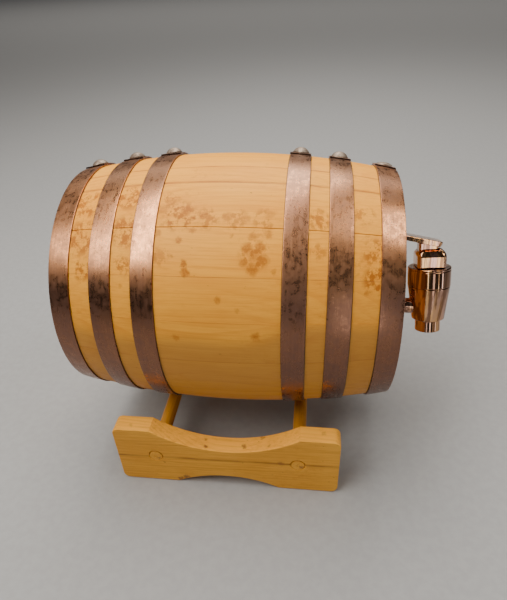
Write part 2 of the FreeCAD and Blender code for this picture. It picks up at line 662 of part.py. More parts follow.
def write_parts():
    """Write each sub-part to a STEP file named after it."""
    os.makedirs("parts", exist_ok=True)
    for piece in subparts:
        piece.Shape.exportStep(f"parts/{piece.Label}.step")


fill_sheet()
make_stand()
make_staves()
make_heads()
make_hoops()
make_bung()
make_tap()
check_document()
write_parts()
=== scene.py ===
import json
import math
import random

import bmesh
import bpy
import numpy as np
from mathutils import Matrix, Vector


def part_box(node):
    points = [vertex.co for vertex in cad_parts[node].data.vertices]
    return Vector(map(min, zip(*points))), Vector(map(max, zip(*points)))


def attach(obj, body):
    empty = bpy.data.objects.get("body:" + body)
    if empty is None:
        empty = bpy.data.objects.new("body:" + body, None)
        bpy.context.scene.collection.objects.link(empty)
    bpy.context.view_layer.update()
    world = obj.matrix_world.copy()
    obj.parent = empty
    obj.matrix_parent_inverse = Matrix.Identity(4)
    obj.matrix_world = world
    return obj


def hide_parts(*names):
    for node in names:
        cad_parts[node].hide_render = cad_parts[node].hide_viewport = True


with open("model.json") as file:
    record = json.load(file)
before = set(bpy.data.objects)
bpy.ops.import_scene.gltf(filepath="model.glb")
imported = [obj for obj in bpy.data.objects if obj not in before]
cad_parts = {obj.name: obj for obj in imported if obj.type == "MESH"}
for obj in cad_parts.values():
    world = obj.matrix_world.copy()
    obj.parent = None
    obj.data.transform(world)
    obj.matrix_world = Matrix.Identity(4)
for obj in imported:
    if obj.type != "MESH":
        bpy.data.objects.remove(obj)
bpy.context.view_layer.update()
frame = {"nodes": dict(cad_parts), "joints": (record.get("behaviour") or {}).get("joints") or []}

MM = 0.001  # metres; lengths are in metres, and tables and profiles are in millimetres
JOINTS = {joint["name"]: joint for joint in frame["joints"]}
STAVES = sorted(node for node in frame["nodes"] if node.startswith("stave_"))
HOOPS = [f"{kind}_hoop_{end}" for end in ("rear", "front") for kind in ("head", "quarter", "bilge")]
random.seed(7)

# --- The barrel's frame, read from the CAD ---


def joined_box(nodes):
    """Lowest and highest corner of several CAD nodes together."""
    boxes = [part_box(node) for node in nodes]
    low = Vector(min(box[0][axis] for box in boxes) for axis in range(3))
    high = Vector(max(box[1][axis] for box in boxes) for axis in range(3))
    return low, high


WOOD_LOW, WOOD_HIGH = joined_box(STAVES)
CENTRE = (WOOD_LOW + WOOD_HIGH) / 2
HALF_LENGTH = (WOOD_HIGH.x - WOOD_LOW.x) / 2
BELLY = (WOOD_HIGH.z - WOOD_LOW.z) / 2
TAP_AXIS = Vector(JOINTS["tap_turn"]["axis"])
TAP_PLACE = Vector(JOINTS["tap_turn"]["pos_m"])
ROLL = math.atan2(TAP_AXIS.y, TAP_AXIS.z)
SHANK_FRAME = Matrix.Translation(TAP_PLACE) @ Matrix.Rotation(-ROLL, 4, "X")
TAP_FRAME = SHANK_FRAME @ Matrix.Rotation(math.asin(TAP_AXIS.x), 4, "Y")


def node_points(node):
    """Vertices of a CAD node as (place along the barrel, radius, angle from its top), one a row."""
    points = np.array([vertex.co for vertex in frame["nodes"][node].data.vertices]) - np.array(CENTRE)
    radius = np.hypot(points[:, 1], points[:, 2])
    angle = np.arctan2(-points[:, 1], points[:, 2]) + ROLL
    return np.stack([points[:, 0], radius, angle], 1)


def angle_span(node):
    """First and last angle of a stave around the barrel, in order."""
    angles = node_points(node)[:, 2]
    middle = math.atan2(np.sin(angles).mean(), np.cos(angles).mean())
    spread = (angles - middle + math.pi) % (2 * math.pi) - math.pi
    return middle + spread.min(), middle + spread.max()


END_RADIUS = max(radius for x, radius, _ in node_points(STAVES[5]) if abs(x) > HALF_LENGTH - 1e-5)
RISE = BELLY - END_RADIUS
BEND = (HALF_LENGTH ** 2 + RISE ** 2) / (2 * RISE)  # radius that the staves are bent to
WALL = 12.5 * MM  # the staves' thickness


def outside(x):
    """Radius of the bent staves' outside at a place along the barrel."""
    return BELLY - BEND + math.sqrt(BEND ** 2 - x ** 2)


def inside(x):
    """Radius of the bent staves' inside at a place along the barrel."""
    return BELLY - BEND + math.sqrt((BEND - WALL) ** 2 - x ** 2)


def around(x, radius, angle):
    """A point given along, out from and around the barrel, in the row frame."""
    turn = angle - ROLL
    return CENTRE + Vector((x, -radius * math.sin(turn), radius * math.cos(turn)))


# --- Mesh tools ---

CLEAR = 9.0  # a value of "edge" that is well away from any joint


def scene_object(name, data):
    """An object with its data, linked to the scene."""
    made = bpy.data.objects.new(name, data)
    bpy.context.scene.collection.objects.link(made)
    return made


def new_piece(name, vertices, faces, material, body, slot, node, sharp=35):
    """A mesh piece that rides on a body in place of a CAD node, smooth up to an angle in degrees."""
    mesh = bpy.data.meshes.new(name)
    mesh.from_pydata([tuple(v) for v in vertices], [], faces)
    mesh.validate()
    mesh.update()
    mesh.polygons.foreach_set("use_smooth", [True] * len(mesh.polygons))
    mesh.set_sharp_from_angle(angle=math.radians(sharp))
    mesh.materials.append(material)
    piece = scene_object(name, mesh)
    shading = piece.modifiers.new("flat_faces_stay_flat", "WEIGHTED_NORMAL")
    shading.keep_sharp = True
    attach(piece, body)
    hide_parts(node)
    return piece


def set_values(mesh, name, values):
    """Give every vertex its value of a named attribute."""
    layer = mesh.attributes.new(name, "FLOAT", "POINT")
    layer.data.foreach_set("value", values)


def set_grain(piece, coordinates, tone=0.5, edge=None, grime=0.5):
    """Wood coordinates in metres, x along the grain and y, z from the tree's heart.

    Tone is how light the board is, one value or one a vertex, edge the distance from a dirty joint
    in joint widths, and grime how stained it is.
    """
    mesh = piece.data
    grain = mesh.attributes.new("grain", "FLOAT_VECTOR", "POINT")
    grain.data.foreach_set("vector", np.array(coordinates, np.float32).reshape(-1))
    count = len(mesh.vertices)
    set_values(mesh, "tone", tone if isinstance(tone, list) else [tone] * count)
    set_values(mesh, "edge", [CLEAR] * count if edge is None else edge)
    set_values(mesh, "grime", [grime] * count)


def tube_faces(rows, columns, ring=False):
    """Faces of a tube whose vertices run round it row by row; its ends are capped, or meet in a ring."""
    faces = []
    for row in range(rows if ring else rows - 1):
        after = (row + 1) % rows
        for column in range(columns):
            beside = (column + 1) % columns
            faces.append((row * columns + column, row * columns + beside,
                          after * columns + beside, after * columns + column))
    if not ring:
        faces.append(tuple(reversed(range(columns))))
        faces.append(tuple(range((rows - 1) * columns, rows * columns)))
    return faces


def lathe(profile, transform, segments=96):
    """Turned solid round local Z from (radius, height) points that run up the outside."""
    vertices, rings = [], []
    for radius, height in profile:
        if radius < 1e-7:
            rings.append([len(vertices)])
            vertices.append(transform @ Vector((0, 0, height)))
            continue
        rings.append(list(range(len(vertices), len(vertices) + segments)))
        for step in range(segments):
            turn = 2 * math.pi * step / segments
            point = Vector((radius * math.cos(turn), radius * math.sin(turn), height))
            vertices.append(transform @ point)
    faces = []
    for low, high in zip(rings, rings[1:]):
        for step in range(segments):
            after = (step + 1) % segments
            if len(low) == 1:
                faces.append((low[0], high[after], high[step]))
            elif len(high) == 1:
                faces.append((low[step], low[after], high[0]))
            else:
                faces.append((low[step], low[after], high[after], high[step]))
    return vertices, faces


def soften(profile, radius, steps=3):
    """Round the corners of a (radius, height) profile, leaving its two ends."""
    rounded = [profile[0]]
    for before, corner, after in zip(profile, profile[1:], profile[2:]):
        start, middle, end = (Vector(point) for point in (before, corner, after))
        one, two = (start - middle), (end - middle)
        reach = min(radius, one.length * 0.45, two.length * 0.45)
        first, last = middle + one.normalized() * reach, middle + two.normalized() * reach
        for step in range(steps + 1):
            t = step / steps
            rounded.append(tuple(first * (1 - t) ** 2 + middle * 2 * t * (1 - t) + last * t ** 2))
    rounded.append(profile[-1])
    return rounded


def in_metres(rows):
    """Rows of numbers given in millimetres."""
    return [tuple(value * MM for value in row) for row in rows]


def share(value, start, end):
    """How far a value is from start to end, kept between 0 and 1."""
    return min(max((value - start) / (end - start), 0.0), 1.0)


def join_parts(*parts):
    """Several (vertices, faces) pairs as one."""
    vertices, faces = [], []
    for more_vertices, more_faces in parts:
        base = len(vertices)
        vertices += more_vertices
        faces += [tuple(base + index for index in face) for face in more_faces]
    return vertices, faces


def rounded_rectangle(half_x, half_y, radius, steps=6):
    """Outline of a rectangle with round corners, anticlockwise."""
    points = []
    for quarter, (side_x, side_y) in enumerate(((1, 1), (-1, 1), (-1, -1), (1, -1))):
        for step in range(steps + 1):
            turn = math.radians(90 * (quarter + step / steps))
            points.append((side_x * (half_x - radius) + radius * math.cos(turn),
                           side_y * (half_y - radius) + radius * math.sin(turn)))
    return points


def loft(sections, transform):
    """Closed solid through rounded rectangles given as (height, half_x, half_y, radius)."""
    vertices = []
    for height, half_x, half_y, radius in sections:
        outline = rounded_rectangle(half_x, half_y, radius)
        vertices += [transform @ Vector((x, y, height)) for x, y in outline]
    return vertices, tube_faces(len(sections), len(vertices) // len(sections))


# --- Material tools ---

class Recipe:
    """One procedural material, built node by node."""

    def __init__(self, name):
        self.material = bpy.data.materials.new(name)
        self.material.use_nodes = True
        self.tree = self.material.node_tree
        self.tree.nodes.clear()

    def add(self, kind, inputs=None, **settings):
        """Add a node; an input is a number, a colour or another node's output."""
        node = self.tree.nodes.new("ShaderNode" + kind)
        for name, value in settings.items():
            setattr(node, name, value)
        for socket, value in (inputs or {}).items():
            if isinstance(value, bpy.types.NodeSocket):
                self.tree.links.new(value, node.inputs[socket])
            else:
                node.inputs[socket].default_value = value
        return node

    def attribute(self, name, output="Vector"):
        """A mesh attribute."""
        return self.add("Attribute", attribute_name=name).outputs[output]

    def place(self):
        """Object coordinates, which are row coordinates in metres."""
        return self.add("TexCoord").outputs["Object"]

    def noise(self, vector, scale, move=(0, 0, 0), detail=4.0, rough=0.55):
        """Fractal noise from 0 to 1, at a scale in cells a metre along each axis."""
        mapping = self.add("Mapping", {"Vector": vector, "Scale": scale, "Location": move})
        inputs = {"Vector": mapping.outputs[0], "Scale": 1.0, "Detail": detail, "Roughness": rough}
        return self.add("TexNoise", inputs).outputs[0]

    def math(self, operation, first, second=0.0):
        """One arithmetic step."""
        return self.add("Math", {0: first, 1: second}, operation=operation).outputs[0]

    def times(self, first, second):
        """Product of two values."""
        return self.math("MULTIPLY", first, second)

    def vector(self, operation, first, second):
        """One step of vector arithmetic."""
        return self.add("VectorMath", {0: first, 1: second}, operation=operation).outputs

    def ramp(self, value, low, high, to_low=0.0, to_high=1.0):
        """Smoothly remap a value from one range to another."""
        inputs = {"Value": value, "From Min": low, "From Max": high,
                  "To Min": to_low, "To Max": to_high}
        return self.add("MapRange", inputs, interpolation_type="SMOOTHSTEP").outputs[0]

    def mix(self, factor, first, second, blend="MIX"):
        """Mix two colours."""
        node = self.add("Mix", data_type="RGBA", blend_type=blend)
        for socket, value in ((0, factor), (6, first), (7, second)):
            if isinstance(value, bpy.types.NodeSocket):
                self.tree.links.new(value, node.inputs[socket])
            elif socket == 0:
                node.inputs[socket].default_value = value
            else:
                node.inputs[socket].default_value = (*value, 1)
        return node.outputs[2]

    def bump(self, height, strength, distance, normal=None):
        """Bump from a height value; distance is in metres."""
        inputs = {"Height": height, "Strength": strength, "Distance": distance}
        if normal is not None:
            inputs["Normal"] = normal
        return self.add("Bump", inputs).outputs[0]

    def finish(self, **inputs):
        """The surface shader, from its inputs by name with spaces as underscores."""
        named = {name.replace("_", " "): value for name, value in inputs.items()}
        shader = self.add("BsdfPrincipled", named)
        output = self.add("OutputMaterial")
        self.tree.links.new(shader.outputs[0], output.inputs["Surface"])
        return self.material


# --- Wood ---

STRIP, STRIP_THICK = 14.9 * MM, 1.0 * MM  # width and thickness of the hoops' strip

# Round stains on the staves: mm along from the barrel's middle, degrees round from upright, mm wide
# and depth from 0 to 1. Finely mottled zones are given the same way.
STAINS = ((-22, 32, 6, 0.9), (-17, 35, 3, 1.0), (-10, 34, 5, 0.9), (4, 34, 5, 0.7), (16, 35, 6, 0.5),
          (31, 33, 6, 0.4), (-38, 31, 6, 0.6), (-33, 27, 5, 0.5), (-17, 40, 4, 0.8), (-40, 41, 5, 0.6),
          (8, 42, 2, 0.6), (-25, 44, 4, 0.8), (31, 41, 5, 0.7), (21, 42, 5, 0.7), (18, 47, 6, 0.9),
          (26, 46, 6, 0.9), (28, 51, 6, 0.9), (22, 54, 7, 0.9), (16, 52, 5, 0.8), (23, 49, 7, 0.6),
          (35, 55, 3, 0.7), (-40, 51, 5, 0.7), (-29, 50, 2, 0.8), (-21, 53, 4, 1.0), (-20, 56, 5, 1.0),
          (1, 66, 4, 0.7), (13, 70, 3, 0.4), (24, 80, 5, 0.9), (-27, 82, 4, 0.7), (62, 30, 4, 0.7),
          (92, 62, 4, 0.7), (62, 49, 3, 0.6), (-63, 62, 3, 0.5))
MOTTLED = ((-92, 26, 15, 0.9), (-91, 42, 16, 0.9), (-90, 56, 9, 0.9), (-62, 24, 13, 0.9),
           (-61, 40, 14, 0.9), (-62, 54, 8, 0.8), (-26, 34, 14, 0.9), (-8, 35, 10, 0.7),
           (10, 35, 10, 0.6), (28, 35, 10, 0.6), (-36, 27, 9, 0.7), (96, 46, 11, 0.9),
           (97, 57, 11, 1.0), (61, 34, 9, 0.8), (61, 47, 7, 0.6), (23, 49, 12, 0.9), (89, 30, 9, 0.7),
           (-36, 50, 8, 0.5))
# Marks on the near board: mm from its middle, share of half its thickness, mm over the floor, mm
# wide and depth.
STAND_MARKS = ((-15, -0.6, 40.5, 3.0, 0.8), (-16, 0.3, 40.5, 2.5, 0.7), (14, -0.2, 40.5, 3.5, 0.7),
               (27, 0.8, 43.5, 3.0, 0.6), (-33, -1.0, 6.0, 4.5, 0.8), (-38, -1.0, 3.5, 4.0, 0.8),
               (42, -1.0, 30.5, 4.5, 0.5), (57, -1.0, 28.0, 3.0, 0.7), (-52, -1.0, 27.5, 2.5, 0.6),
               (-70, -0.3, 57.3, 3.0, 0.3), (72, 0.2, 57.3, 3.0, 0.35), (33, -0.4, 45.5, 2.0, 0.5))


def stave_spot(along, turn):
    """Point on the staves' outside at a place in millimetres and degrees round from upright."""
    return around(along * MM, outside(along * MM), math.radians(turn) + ROLL)


def board_spot(along, across, height):
    """Point on the near board: mm from its middle, share of half its thickness, mm over the floor."""
    low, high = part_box("stand_board_near")
    middle = (low + high) / 2
    return Vector((middle.x + along * MM, middle.y + across * (high.y - low.y) / 2, height * MM))


def blot_field(r, place, spots, outer, inner):
    """The strongest of many round blots, each (centre, mm wide, depth)."""
    total = 0.0
    for centre, width, depth in spots:
        gap = r.vector("DISTANCE", place, centre)["Value"]
        blot = r.ramp(gap, width * outer * MM, width * inner * MM, 0.0, depth)
        total = r.math("MAXIMUM", total, blot)
    return total


def mark_field(r, marks, mottled):
    """How marked the varnish is: ragged blots, and fine mottling in some zones."""
    place = r.place()
    warp = r.add("TexNoise", {"Vector": place, "Scale": 300.0, "Detail": 5.0, "Roughness": 0.62})
    nudge = r.vector("SUBTRACT", warp.outputs["Color"], (0.5, 0.5, 0.5))[0]
    nudge = r.add("VectorMath", {0: nudge, "Scale": 6 * MM}, operation="SCALE").outputs[0]
    ragged = r.vector("ADD", place, nudge)[0]
    blots = blot_field(r, ragged, marks, 0.8, 0.25)
    speckle = r.noise(place, (480, 520, 520), detail=3, rough=0.6)
    blots = r.times(blots, r.ramp(speckle, 0.3, 0.6, 0.6, 1.0))
    if not mottled:
        return blots
    zones = blot_field(r, place, mottled, 1.0, 0.5)
    mottle = r.ramp(r.noise(place, (230, 190, 190), detail=5, rough=0.68), 0.45, 0.58)
    return r.math("MAXIMUM", blots, r.times(zones, mottle))


def hoop_place(node):
    """Place of a hoop's middle along the barrel."""
    low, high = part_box(node)
    return (low.x + high.x) / 2 - CENTRE.x


def painted_hoop_shadow(r):
    """Painted shadow in the corner along the hoops' edges, from the places of the hoops."""
    along = r.add("SeparateXYZ", {0: r.place()}).outputs[0]
    nearest = 1.0
    for node in HOOPS:
        gap = r.math("ABSOLUTE", r.math("SUBTRACT", along, CENTRE.x + hoop_place(node)))
        from_edge = r.math("ABSOLUTE", r.math("SUBTRACT", gap, STRIP / 2))
        nearest = r.math("MINIMUM", nearest, from_edge)
    from_middle = r.math("ABSOLUTE", r.math("SUBTRACT", along, CENTRE.x))
    clear_of_rims = r.ramp(from_middle, HALF_LENGTH - 3 * MM, HALF_LENGTH - 6 * MM)
    return r.times(r.ramp(nearest, 0.6 * MM, 0.2 * MM), clear_of_rims)


def wood_material(name, pale, deep, stains, flecks=0.5, coat=0.04, dirt=(0.36, 0.095, 0.025),
                  marks=(), mottled=(), hoop_shadowed=False):
    """Varnished light wood: growth rings, fibres, darker streaks, flecks, stains and dirty joints.

    Stains, flecks and coat are strengths, dirt is the colour of the joints, and marks and mottled
    are lists of blots. The hooped staves' wood also gets a painted shadow along the hoops' edges.
    """
    r = Recipe(name)
    grain = r.attribute("grain")
    tone = r.attribute("tone", "Fac")
    parts = r.add("SeparateXYZ", {0: grain}).outputs
    drift = r.noise(grain, (6, 40, 40), detail=3)
    heart = r.math("SQRT", r.math("ADD", r.times(parts[1], parts[1]),
                                  r.times(parts[2], parts[2])))
    depth = r.math("ADD", heart, r.times(drift, 6 * MM))
    phase = r.math("FRACT", r.math("DIVIDE", depth, 2.6 * MM))
    late = r.times(r.ramp(phase, 0.3, 0.93), r.ramp(phase, 1.0, 0.93))
    strength = r.ramp(r.noise(grain, (4, 90, 90), detail=2), 0.35, 0.75, 0.1, 1.0)
    rings = r.times(late, strength)
    fibres = r.noise(grain, (60, 1700, 1700), detail=5, rough=0.7)
    streaks = r.noise(grain, (10, 620, 620), detail=5, rough=0.68)
    colour = r.mix(r.times(rings, 0.36), pale, deep)
    colour = r.mix(r.ramp(streaks, 0.42, 0.72, 0.0, 0.42), colour, deep)
    colour = r.mix(r.ramp(fibres, 0.45, 0.75, 0.0, 0.34), colour, deep)
    cloud = r.noise(grain, (14, 30, 30), detail=3)
    colour = r.mix(r.ramp(cloud, 0.35, 0.7, 0.0, 0.25), colour, deep)
    # Tone brightens or darkens the wood. Besides real differences between boards it carries painted
    # light and shade: lighter stand tops and darker lower front staves.
    shade = r.math("ADD", 0.88, r.times(tone, 0.2))
    colour = r.mix(1.0, colour, r.add("CombineColor", {0: shade, 1: shade, 2: shade}).outputs[0],
                   "MULTIPLY")
    # Low tones turn the wood duller and greyer: painted shade on the lower front staves, and the darker
    # plank below the flame line.
    colour = r.mix(r.ramp(tone, 0.1, -1.0, 0.0, 0.35), colour, (0.36, 0.18, 0.07))
    patch = r.ramp(r.noise(grain, (22, 26, 26), (3, 1, 2), detail=2), 0.5, 0.66)
    spots = r.ramp(r.noise(grain, (190, 240, 240), detail=5, rough=0.68), 0.5, 0.66)
    grime = r.times(r.attribute("grime", "Fac"), stains)
    stain = r.times(r.times(patch, spots), grime)
    if mottled:
        stain = r.math("MAXIMUM", stain, mark_field(r, marks, mottled))
    elif marks:
        colour = r.mix(mark_field(r, marks, ()), colour, (0.15, 0.05, 0.03))
    colour = r.mix(stain, colour, (0.46, 0.14, 0.013))
    fleck = r.ramp(r.noise(grain, (260, 480, 480), (5, 2, 8), detail=2), 0.72, 0.77)
    colour = r.mix(r.times(fleck, flecks), colour, (0.16, 0.05, 0.012))
    worn = r.noise(grain, (40, 300, 300), (9, 9, 9), detail=3)
    beside = r.math("ABSOLUTE", r.attribute("edge", "Fac"))
    seam = r.times(r.ramp(beside, 1.0, 0.0), r.ramp(worn, 0.35, 0.6, 0.4, 1.0))
    colour = r.mix(r.times(seam, 0.75), colour, dirt)
    if hoop_shadowed:
        # Painted shadow: a thin dark line on the wood along each hoop's edge.
        colour = r.mix(r.times(painted_hoop_shadow(r), 0.85), colour, (0.12, 0.085, 0.05))
    height = r.math("ADD", r.times(fibres, 0.5), r.times(rings, 0.4))
    height = r.math("SUBTRACT", height, r.times(fleck, 0.8))
    normal = r.bump(height, 0.35, 0.12 * MM)
    normal = r.bump(r.noise(grain, (10, 40, 40), detail=2), 0.25, 0.5 * MM, normal)
    rough = r.ramp(r.noise(grain, (25, 90, 90), detail=4), 0.3, 0.7, 0.42, 0.56)
    return r.finish(Base_Color=colour, Roughness=rough, Normal=normal, Coat_Weight=coat,
                    Coat_Roughness=0.3, Specular_IOR_Level=0.12)


# --- Metals ---

def by_height(r, start, end):
    """From 0 to 1 between two heights over the barrel's axis, in radii."""
    height = r.add("SeparateXYZ", {0: r.place()}).outputs[2]
    return r.ramp(height, CENTRE.z + start * BELLY, CENTRE.z + end * BELLY)


def antiqued_copper():
    """Copper-plated strip, brushed lengthwise, darker in specks, with painted dark reflections at the
    very top and low down and painted shade on the strip's sides.
    """
    r = Recipe("antiqued_copper")
    grain = r.attribute("grain")
    painted_dark_low = by_height(r, 0.60, 0.34)
    brush = r.noise(grain, (1900, 30, 30), detail=5, rough=0.65)
    runs = r.noise(grain, (620, 70, 70), (1, 3, 2), detail=4, rough=0.6)
    mottle = r.noise(grain, (240, 200, 200), detail=6, rough=0.7)
    broad = r.noise(grain, (30, 18, 18), (4, 0, 1), detail=3)
    tarnish = r.math("ADD", mottle, r.times(broad, 0.5))
    dark = r.ramp(r.math("ADD", tarnish, r.times(runs, 0.25)), 0.78, 1.05)
    colour = r.mix(r.ramp(brush, 0.35, 0.7, 0.0, 0.6), (0.80, 0.37, 0.17), (0.55, 0.24, 0.115))
    colour = r.mix(r.ramp(broad, 0.4, 0.7, 0.0, 0.4), colour, (0.38, 0.20, 0.14))
    colour = r.mix(r.times(dark, 0.34), colour, (0.16, 0.075, 0.055))
    pits = r.noise(grain, (950, 720, 720), (2, 2, 5), detail=4, rough=0.72)
    pits = r.ramp(pits, 0.56, 0.62)
    crowd = r.noise(grain, (70, 46, 46), (7, 1, 3), detail=3)
    crowd = r.ramp(crowd, 0.36, 0.56, 0.25, 1.0)
    shoulder = r.times(by_height(r, 0.54, 0.68), by_height(r, 1.0, 0.93))
    pits = r.times(pits, r.times(crowd, r.ramp(shoulder, 0.0, 1.0, 0.05, 1.0)))
    colour = r.mix(r.times(pits, 0.68), colour, (0.06, 0.028, 0.02))
    # Painted dark reflections: the copper is darkened low down and at the very top of the barrel, where
    # it would mirror dark surroundings.
    colour = r.mix(r.times(painted_dark_low, 0.72), colour, (0.09, 0.045, 0.042))
    colour = r.mix(r.times(by_height(r, 0.86, 0.96), 0.5), colour, (0.17, 0.105, 0.07))
    # Painted shade: where tone is 0, on the strip's sides and the lap's cut end, the copper turns near
    # black.
    colour = r.mix(r.attribute("tone", "Fac"), (0.07, 0.04, 0.032), colour)
    rough = r.ramp(r.math("ADD", mottle, r.times(runs, 0.4)), 0.5, 0.9, 0.24, 0.38)
    height = r.math("ADD", r.times(brush, 0.35), r.times(runs, 0.4))
    height = r.math("SUBTRACT", height, r.times(pits, 0.6))
    normal = r.bump(height, 0.4, 0.06 * MM)
    normal = r.bump(r.noise(grain, (60, 34, 34), detail=2), 0.4, 0.3 * MM, normal)
    metal = r.ramp(dark, 0.0, 1.0, 1.0, 0.8)
    return r.finish(Base_Color=colour, Metallic=metal, Roughness=rough, Normal=normal)


def polished_copper():
    """Mirror-polished rose-copper plating with wipe marks, and dark streaks along the tap that are
    painted reflections of dark surroundings.
    """
    r = Recipe("polished_copper")
    place = r.place()
    upright = r.add("Mapping", {"Vector": place, "Rotation": (ROLL, 0, 0)}).outputs[0]
    streaks = r.noise(upright, (330, 330, 9), detail=3, rough=0.6)
    hue = r.noise(upright, (210, 210, 6), (3, 5, 1), detail=2)
    wipe = r.noise(place, (160, 160, 40), detail=4, rough=0.6)
    colour = r.mix(r.ramp(hue, 0.42, 0.6), (0.80, 0.44, 0.19), (0.62, 0.36, 0.26))
    # Painted reflection: dark streaks stretched along the tap's axis, standing in for mirrored dark
    # surroundings.
    colour = r.mix(r.ramp(streaks, 0.44, 0.56, 0.0, 0.8), colour, (0.17, 0.08, 0.045))
    rough = r.ramp(wipe, 0.35, 0.75, 0.05, 0.13)
    normal = r.bump(r.noise(place, (90, 90, 90), detail=1), 0.12, 0.15 * MM)
    return r.finish(Base_Color=colour, Metallic=1.0, Roughness=rough, Normal=normal)


def dull_metal(name, pale, deep, low=0.38, high=0.6):
    """Plain dull metal with tarnish and small dents."""
    r = Recipe(name)
    place = r.place()
    tarnish = r.noise(place, (220, 220, 220), detail=5, rough=0.62)
    colour = r.mix(r.ramp(tarnish, 0.4, 0.68), pale, deep)
    rough = r.ramp(tarnish, 0.3, 0.7, low, high)
    normal = r.bump(r.noise(place, (500, 500, 500), detail=3), 0.3, 0.1 * MM)
    return r.finish(Base_Color=colour, Metallic=0.95, Roughness=rough, Normal=normal)


def black_rubber():
    """Matt black rubber with a fine grain."""
    r = Recipe("black_rubber")
    grain = r.noise(r.place(), (900, 900, 900), detail=3)
    colour = r.mix(r.ramp(grain, 0.4, 0.7), (0.025, 0.024, 0.023), (0.05, 0.047, 0.045))
    return r.finish(Base_Color=colour, Roughness=r.ramp(grain, 0.3, 0.7, 0.55, 0.75),
                    Normal=r.bump(grain, 0.2, 0.05 * MM))


def floor_material():
    """Pale matt studio floor."""
    r = Recipe("pale_floor")
    grain = r.noise(r.place(), (160, 160, 160), detail=4)
    colour = r.mix(r.ramp(grain, 0.3, 0.7), (0.33, 0.335, 0.345), (0.36, 0.365, 0.375))
    return r.finish(Base_Color=colour, Roughness=r.ramp(grain, 0.3, 0.7, 0.6, 0.7),
                    Normal=r.bump(grain, 0.05, 0.1 * MM))


STAVE_MARKS = [(stave_spot(along, turn), wide, depth) for along, turn, wide, depth in STAINS]
STAVE_MOTTLE = [(stave_spot(along, turn), wide, depth) for along, turn, wide, depth in MOTTLED]
BOARD_MARKS = [(board_spot(*spot[:3]), *spot[3:]) for spot in STAND_MARKS]
STAVE_WOOD = wood_material("stave_wood", (0.98, 0.44, 0.045), (0.70, 0.23, 0.015), 0.9,
                           marks=STAVE_MARKS, mottled=STAVE_MOTTLE, hoop_shadowed=True)
# Head wood is darker than the stave wood, a painted shade for the heads, which face away from the
# lights; the bung shares this colour.
HEAD_WOOD = wood_material("head_wood", (0.78, 0.38, 0.085), (0.56, 0.22, 0.035), 0.5)
STAND_WOOD = wood_material("stand_wood", (0.84, 0.40, 0.05), (0.48, 0.175, 0.015), 0.4, 0.8,
                           dirt=(0.24, 0.09, 0.017), marks=BOARD_MARKS)
BARE_WOOD = wood_material("bare_wood", (0.80, 0.52, 0.26), (0.62, 0.34, 0.13), 0.1, coat=0.0)
COPPER = antiqued_copper()
ROSE = polished_copper()
RIVET = dull_metal("rivet_metal", (0.36, 0.29, 0.235), (0.22, 0.165, 0.13), 0.5, 0.72)
BRASS = dull_metal("machined_brass", (0.78, 0.58, 0.30), (0.66, 0.46, 0.22), 0.2, 0.35)
STEEL = dull_metal("plated_steel", (0.72, 0.68, 0.66), (0.56, 0.52, 0.50), 0.16, 0.3)
RUBBER = black_rubber()


# --- Barrel ---

CHIME = 9 * MM  # from the rim to the head's face
CHIME_EDGE = 7 * MM  # the wall's thickness at the rim
CHIME_ROUND = 0.6 * MM  # rounding of the rim
HEAD_THICK = 10 * MM
CROZE, CROZE_SLOPE = 76.65 * MM, 3 * MM  # radius and slope of the groove that holds the head
JOINT_REACH = 0.7 * MM  # how far from a stave joint its edge starts to round off
UNEVEN, UNEVEN_LEAN = 0.07, 0.10  # mm that a stave stands proud or shy, and that it leans
CROWN = 0.16  # mm that a stave's sides lie lower than its middle
JOINT_DIP, SOFT_DIP, CRACK_DIP = 0.24, 0.08, 0.4  # mm deep: for each mm wide, at most, and a crack


def stave_loop():
    """Lengthwise section of the wall as (place, radius, outer share), clockwise from the rear rim."""
    outer_steps, inner_steps = 56, 12
    end = HALF_LENGTH - CHIME_ROUND
    rim = (HALF_LENGTH, END_RADIUS - 0.7 * MM, 1.0)
    loop = [(-HALF_LENGTH, *rim[1:])]
    for step in range(outer_steps + 1):
        x = -end + 2 * end * step / outer_steps
        loop.append((x, outside(x), 1.0))
    face = HALF_LENGTH - CHIME
    back = face - HEAD_THICK
    inner = [rim, (HALF_LENGTH, END_RADIUS - CHIME_EDGE + 0.5 * MM, 0.0),
             (end, END_RADIUS - CHIME_EDGE - 0.3 * MM, 0.0),
             (face, inside(face), 0.0), (face - CROZE_SLOPE, CROZE, 0.0),
             (back + CROZE_SLOPE, CROZE, 0.0), (back, inside(back), 0.0)]
    loop += inner
    for step in range(1, inner_steps):
        x = back - 2 * back * step / inner_steps
        loop.append((x, inside(x), 0.0))
    loop += [(-x, radius, outer) for x, radius, outer in reversed(inner)][:-1]
    return loop


CRACKED = ("stave_03", "stave_04")  # the two staves whose joint has opened to a crack
FLAMED = "stave_06"  # the stave whose grain darkens along a slanting line
GRIMY = {"stave_03": 0.5, "stave_04": 0.45}
SEAM_WIDTHS = {"stave_01": (0.3, 1.1), "stave_02": (1.1, 2.0), "stave_03": (1.7, 0.35),
               "stave_05": (0.25, 0.05), FLAMED: (0.05, 0.15)}  # mm of dirt along each side
# How light a stave is, from about -1 to 1; the lower front staves are darker, painted shade towards the
# barrel's bottom.
TONES = {"stave_04": 0.6, "stave_05": 0.3, FLAMED: 0.1, "stave_07": -0.8, "stave_08": -0.8,
         "stave_09": -0.4}
PLAIN_SEAM, PLAIN_GRIME, PLAIN_TONE = (0.25, 0.25), 0.25, 0.7  # of all other staves
FLAME_START, FLAME_END, FLAME_TURN, FLAME_RISE = -5, 50, 83, 7  # mm along, and degrees round


